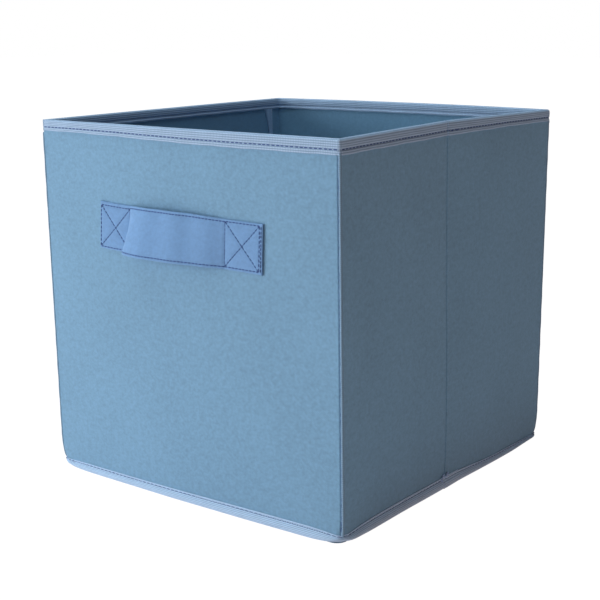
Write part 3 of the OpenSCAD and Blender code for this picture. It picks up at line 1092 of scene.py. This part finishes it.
# Free part of the strap at its two edges: place along the wall and distance off it
LOWER_EDGE = [(BOX_L, 0), (-51.0, 5.0), (-48.5, 9.6), (-36, 11.6), (-20, 11.6), (-4, 10.0), (12, 7.6),
              (26, 4.6), (36, 1.7), (BOX_R, 0)]
UPPER_EDGE = [(BOX_L, 0), (-45, 1.3), (-35, 3.2), (-20, 4.7), (-4, 4.4), (12, 3.0), (26, 1.6),
              (36, 0.5), (BOX_R, 0)]
LOWER_PATH, LOWER_MARKS = smooth_path(LOWER_EDGE, 0.5)
UPPER_PATH, UPPER_MARKS = smooth_path(UPPER_EDGE, 0.5)
FREE_LENGTH = (LOWER_MARKS[-1] + UPPER_MARKS[-1]) / 2


def strap_surface(g, v):
    """Inner face of the strap at g along it and v up it, both in millimetres."""
    g, v = np.broadcast_arrays(np.asarray(g, float), np.asarray(v, float))
    first = BOX_L - STRAP_L
    t = np.clip((g - first) / FREE_LENGTH, 0, 1)
    up = v / STRAP_W
    along, height = [
        (1 - up) * np.interp(t * LOWER_MARKS[-1], LOWER_MARKS, LOWER_PATH[:, i])
        + up * np.interp(t * UPPER_MARKS[-1], UPPER_MARKS, UPPER_PATH[:, i]) for i in (0, 1)]
    along = np.where(g < first, STRAP_L + g, along)
    along = np.where(g > first + FREE_LENGTH, BOX_R + g - first - FREE_LENGTH, along)
    arch = np.sin(math.pi * t)
    height = height + 0.45 * arch * np.sin(2 * math.pi * (3.2 * t + 0.15 * up + 0.45))
    from_end = along - STRAP_L
    middle = STRAP_R_Z + STRAP_SLOPE * (STRAP_R - along) + np.exp(-np.maximum(from_end, 0) / 14)
    z = middle + v - STRAP_W / 2 + arch * up
    x = along + (up - 0.5) * (2.7 - 0.9 * from_end / (STRAP_R - STRAP_L))
    lying = place("front", x, z, 0.15 + 0.25 * np.clip(from_end - 150, 0, 8) / 8)
    return np.stack([x, lying[..., 1] - height, z], axis=-1)


def strap_normal(g, v):
    """Direction out of the strap, away from the wall."""
    step = SURFACE_STEP
    along = strap_surface(g + step, v) - strap_surface(g - step, v)
    upward = strap_surface(g, v + step) - strap_surface(g, v - step)
    return unit(np.cross(along, upward))


def strap_boxes():
    """The two stitched boxes in strap coordinates, as left, right, low and high, and the strap's length."""
    first = BOX_L - STRAP_L
    second = first + FREE_LENGTH
    total = second + STRAP_R - BOX_R
    return [(1.1, first, 1.5, 32.9), (second, total - 2.8, 1.9, 33.8)], total


def segment_distance(x, y, a, b):
    """Distance in the plane from points to the segment between a and b."""
    a, b = np.array(a, float), np.array(b, float)
    d = b - a
    t = np.clip(((x - a[0]) * d[0] + (y - a[1]) * d[1]) / (d @ d), 0, 1)
    return np.hypot(x - a[0] - t * d[0], y - a[1] - t * d[1])


def strap_seams():
    """Every line of stitching on the strap, as pairs of ends."""
    boxes = strap_boxes()[0]
    lines = []
    for left, right, low, high in boxes:
        lines += [((left, low), (right, low)), ((right, low), (right, high)),
                  ((right, high), (left, high)), ((left, high), (left, low)),
                  ((left, low), (right, high)), ((left, high), (right, low))]
    outer = boxes[1][1]
    lines.append(((outer + 1.5, 1.6), (outer + 1.5, STRAP_W - 1.6)))
    for v in (STRAP_HEM, STRAP_W - STRAP_HEM):
        lines.append(((boxes[0][1], v), (boxes[1][0], v)))
    return lines


def strap_thickness(g, v, total):
    """Full between its seams, drawn in along them and rounded at its edges."""
    near = np.full(np.shape(g), 99.0)
    for a, b in strap_seams():
        near = np.minimum(near, segment_distance(g, v, a, b))
    quilt = 1 - 0.42 * np.exp(-(near / 1.3) ** 2)
    side = np.minimum(np.minimum(g, total - g), np.minimum(v, STRAP_W - v))
    edge = np.sqrt(np.clip(1 - (1 - np.clip(side / STRAP_EDGE, 0, 1)) ** 2, 0.02, 1))
    return (STRAP_T * quilt * edge)[..., None]


def build_strap():
    """Handle, sewn flat at both ends and free between them, with its stitching."""
    total = strap_boxes()[1]
    edge = np.array([0, 0.08, 0.25, 0.5, 0.9])
    along, across = [np.concatenate([edge, spread(1.3, size - 1.3, 0.7), size - edge[::-1]])
                     for size in (total, STRAP_W)]

    def layer(g, v, side):
        """Face of the strap, 1 for the outer one and -1 for the one on the wall."""
        offset = STRAP_T / 2 + side * strap_thickness(g, v, total) / 2
        return strap_surface(g, v) + strap_normal(g, v) * offset

    g, v = np.meshgrid(along, across, indexing="ij")
    strap = slab("handle_strap_web", layer(g, v, 1), layer(g, v, -1), flat_grid(g, v), STRAP)
    attach(strap, ("front_wall",), None, ["handle_strap"])
    thread = Thread()
    for a, b in strap_seams():
        thread.run(lambda g, v: layer(g, v, 1), [a, b], **STRAP_STITCH)
    attach(thread.made("handle_stitching_thread", THREAD), ("front_wall",), None, ["handle_stitching"])


# ---- Base insert ----

INSERT_RADIUS = 18.0
HEM = 4.0                 # width of the hem
HEM_HALF_T = 0.42         # half of its thickness
HEM_STITCH_IN = 2.2       # from the edge to the stitches
COVER_T = 0.36


def build_insert():
    """A board in a sewn sleeve: full over the board, pressed flat in the hem round it."""
    half_x = INSERT_HIGH[0]
    low_y, high_y = INSERT_LOW[1], INSERT_HIGH[1]
    x, y = plate_grid(half_x, low_y, high_y, INSERT_RADIUS, 5.0)
    inside = edge_distance(x, y, half_x, low_y, high_y, INSERT_RADIUS)
    rise = 1 / (1 + np.exp(-(inside - HEM) / 0.55))
    middle = (INSERT_LOW[2] + INSERT_TOP) / 2
    full = (INSERT_TOP - INSERT_LOW[2]) / 2 - 0.06
    pucker = 0.06 * np.sin(x / 5.1) * np.sin(y / 4.7) * np.exp(-((inside - HEM) / 5.0) ** 2)
    wave = 0.05 * np.sin(x / 23.0) * np.sin(y / 31.0)
    height = HEM_HALF_T + (full - HEM_HALF_T + pucker + wave) * rise
    for sign, part in ((1, "top"), (-1, "bottom")):
        layers = [np.stack([x, y, middle + sign * (height - depth)], axis=-1) for depth in (0.0, COVER_T)]
        cover = slab("base_cover_" + part + "_sheet", *layers, flat_grid(x, y), INSERT)
        attach(cover, ("base_insert",), None, ["base_cover_" + part])
    thread = Thread()
    inset = HEM_STITCH_IN
    for sign in (1, -1):
        level = middle + sign * HEM_HALF_T

        def surface(a, b, level=level, sign=sign):
            return np.stack([a * sign, b, np.full(np.shape(a), level)], axis=-1)

        for route in hem_runs(half_x - inset, low_y + inset, high_y - inset, INSERT_RADIUS - inset):
            thread.run(surface, route, 4.2, 3.2, 0.22)
    attach(thread.made("base_stitching_thread", THREAD), ("base_insert",), None, ["base_stitching"])
    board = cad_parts["base_board"]
    board.data.materials.clear()
    board.data.materials.append(BOARD)


def hem_runs(half_x, low_y, high_y, radius):
    """Runs of a seam round the insert, straight and round a corner by turns."""
    runs = []
    corners = [(half_x - radius, low_y + radius, -90), (half_x - radius, high_y - radius, 0),
               (-half_x + radius, high_y - radius, 90), (-half_x + radius, low_y + radius, 180)]
    for k, (cx, cy, first) in enumerate(corners):
        angles = np.radians(np.linspace(first, first + 90, 13))
        corner = [(cx + radius * math.cos(a), cy + radius * math.sin(a)) for a in angles]
        nx, ny, next_first = corners[(k + 1) % 4]
        a = math.radians(next_first)
        runs += [[corner[-1], (nx + radius * math.cos(a), ny + radius * math.sin(a))], corner]
    return runs


# ---- Stage, light and camera ----

def build_stage():
    """Studio floor just under the bin."""
    bpy.ops.mesh.primitive_plane_add(size=16, location=(0, 0, -0.0006))
    floor = bpy.context.object
    floor.name = "studio_floor"
    floor.data.materials.append(studio_floor_material())


def seen_by_camera(tree, usual, seen, share, output):
    """Shows the camera one shader, by a share, and lights the bin with the usual one."""
    path = tree.nodes.new("ShaderNodeLightPath")
    amount = tree.nodes.new("ShaderNodeMath")
    amount.operation = "MULTIPLY"
    amount.inputs[1].default_value = share
    mix = tree.nodes.new("ShaderNodeMixShader")
    for start, end in ((path.outputs["Is Camera Ray"], amount.inputs[0]), (amount.outputs[0], mix.inputs[0]),
                       (usual.outputs[0], mix.inputs[1]), (seen.outputs[0], mix.inputs[2]),
                       (mix.outputs[0], tree.nodes[output].inputs[0])):
        tree.links.new(start, end)


def studio_floor_material():
    """Pale floor that the camera sees as evenly lit as a studio sweep, with a faint shadow on it."""
    material = bpy.data.materials.new("studio_floor")
    material.use_nodes = True
    tree = material.node_tree
    matt = tree.nodes["Principled BSDF"]
    matt.inputs["Base Color"].default_value = (0.8, 0.8, 0.8, 1)
    matt.inputs["Roughness"].default_value = 0.7
    matt.inputs["Emission Color"].default_value = (1.0, 0.66, 0.54, 1)
    matt.inputs["Emission Strength"].default_value = 0.3
    glow = tree.nodes.new("ShaderNodeEmission")
    glow.inputs["Strength"].default_value = 1.08
    seen_by_camera(tree, matt, glow, 0.93, "Material Output")
    return material


def area_light(name, place_at, size, power, colour):
    """Rectangular lamp aimed at the bin."""
    data = bpy.data.lights.new(name, "AREA")
    data.shape = "RECTANGLE"
    data.size, data.size_y = size
    data.energy = power
    data.color = colour
    lamp = bpy.data.objects.new(name, data)
    bpy.context.scene.collection.objects.link(lamp)
    lamp.location = place_at
    lamp.rotation_mode = "QUATERNION"
    lamp.rotation_quaternion = (Vector((0, 0, 0.1)) - Vector(place_at)).to_track_quat("-Z", "Y")


def build_light():
    """A key light at the left front, a soft one from above and a small one over the opening."""
    world = bpy.data.worlds.new("studio")
    bpy.context.scene.world = world
    world.use_nodes = True
    tree = world.node_tree
    seen = tree.nodes["Background"]
    seen.inputs["Color"].default_value = (1, 1, 1, 1)
    seen.inputs["Strength"].default_value = 1.0
    fill = tree.nodes.new("ShaderNodeBackground")
    fill.inputs["Color"].default_value = (1.0, 0.78, 0.68, 1)
    fill.inputs["Strength"].default_value = 0.11
    seen_by_camera(tree, fill, seen, 1.0, "World Output")
    area_light("key", (-1.22, -1.25, 0.4), (1.1, 0.9), 23, (0.94, 0.99, 1.0))
    area_light("top", (-0.3, -0.4, 2.2), (1.4, 1.4), 20, (0.86, 1.0, 1.0))
    area_light("inside", (0.03, -0.02, 1.0), (0.2, 0.2), 1.7, (0.7, 0.9, 1.0))


def build_camera():
    """Camera at the front right of the bin, a little above its rim."""
    azimuth, elevation, roll = [math.radians(angle) for angle in (38.15, 12.88, -0.585)]
    distance, right_shift, up_shift, target_z = 1016.1, -3.8, -10.6, 140.0
    back = Vector((math.sin(azimuth) * math.cos(elevation), -math.cos(azimuth) * math.cos(elevation),
                   math.sin(elevation)))
    right = Vector((math.cos(azimuth), math.sin(azimuth), 0))
    up = back.cross(right)
    where = back * distance + right * right_shift + up * up_shift + Vector((0, 0, target_z))
    turned_right = right * math.cos(roll) + up * math.sin(roll)
    turned_up = up * math.cos(roll) - right * math.sin(roll)
    data = bpy.data.cameras.new("camera")
    data.sensor_width = 36.0
    data.lens = 75.552
    data.clip_end = 50
    camera = bpy.data.objects.new("camera", data)
    bpy.context.scene.collection.objects.link(camera)
    turn = Matrix((turned_right, turned_up, back)).transposed().to_4x4()
    camera.matrix_world = Matrix.Translation(where * MM) @ turn
    bpy.context.scene.camera = camera


build_walls()
build_rim_tape()
build_rim_stitching()
build_corner_seams()
build_floor()
build_strap()
build_insert()
build_stage()
build_light()
build_camera()
bpy.context.scene.view_settings.view_transform = "Standard"
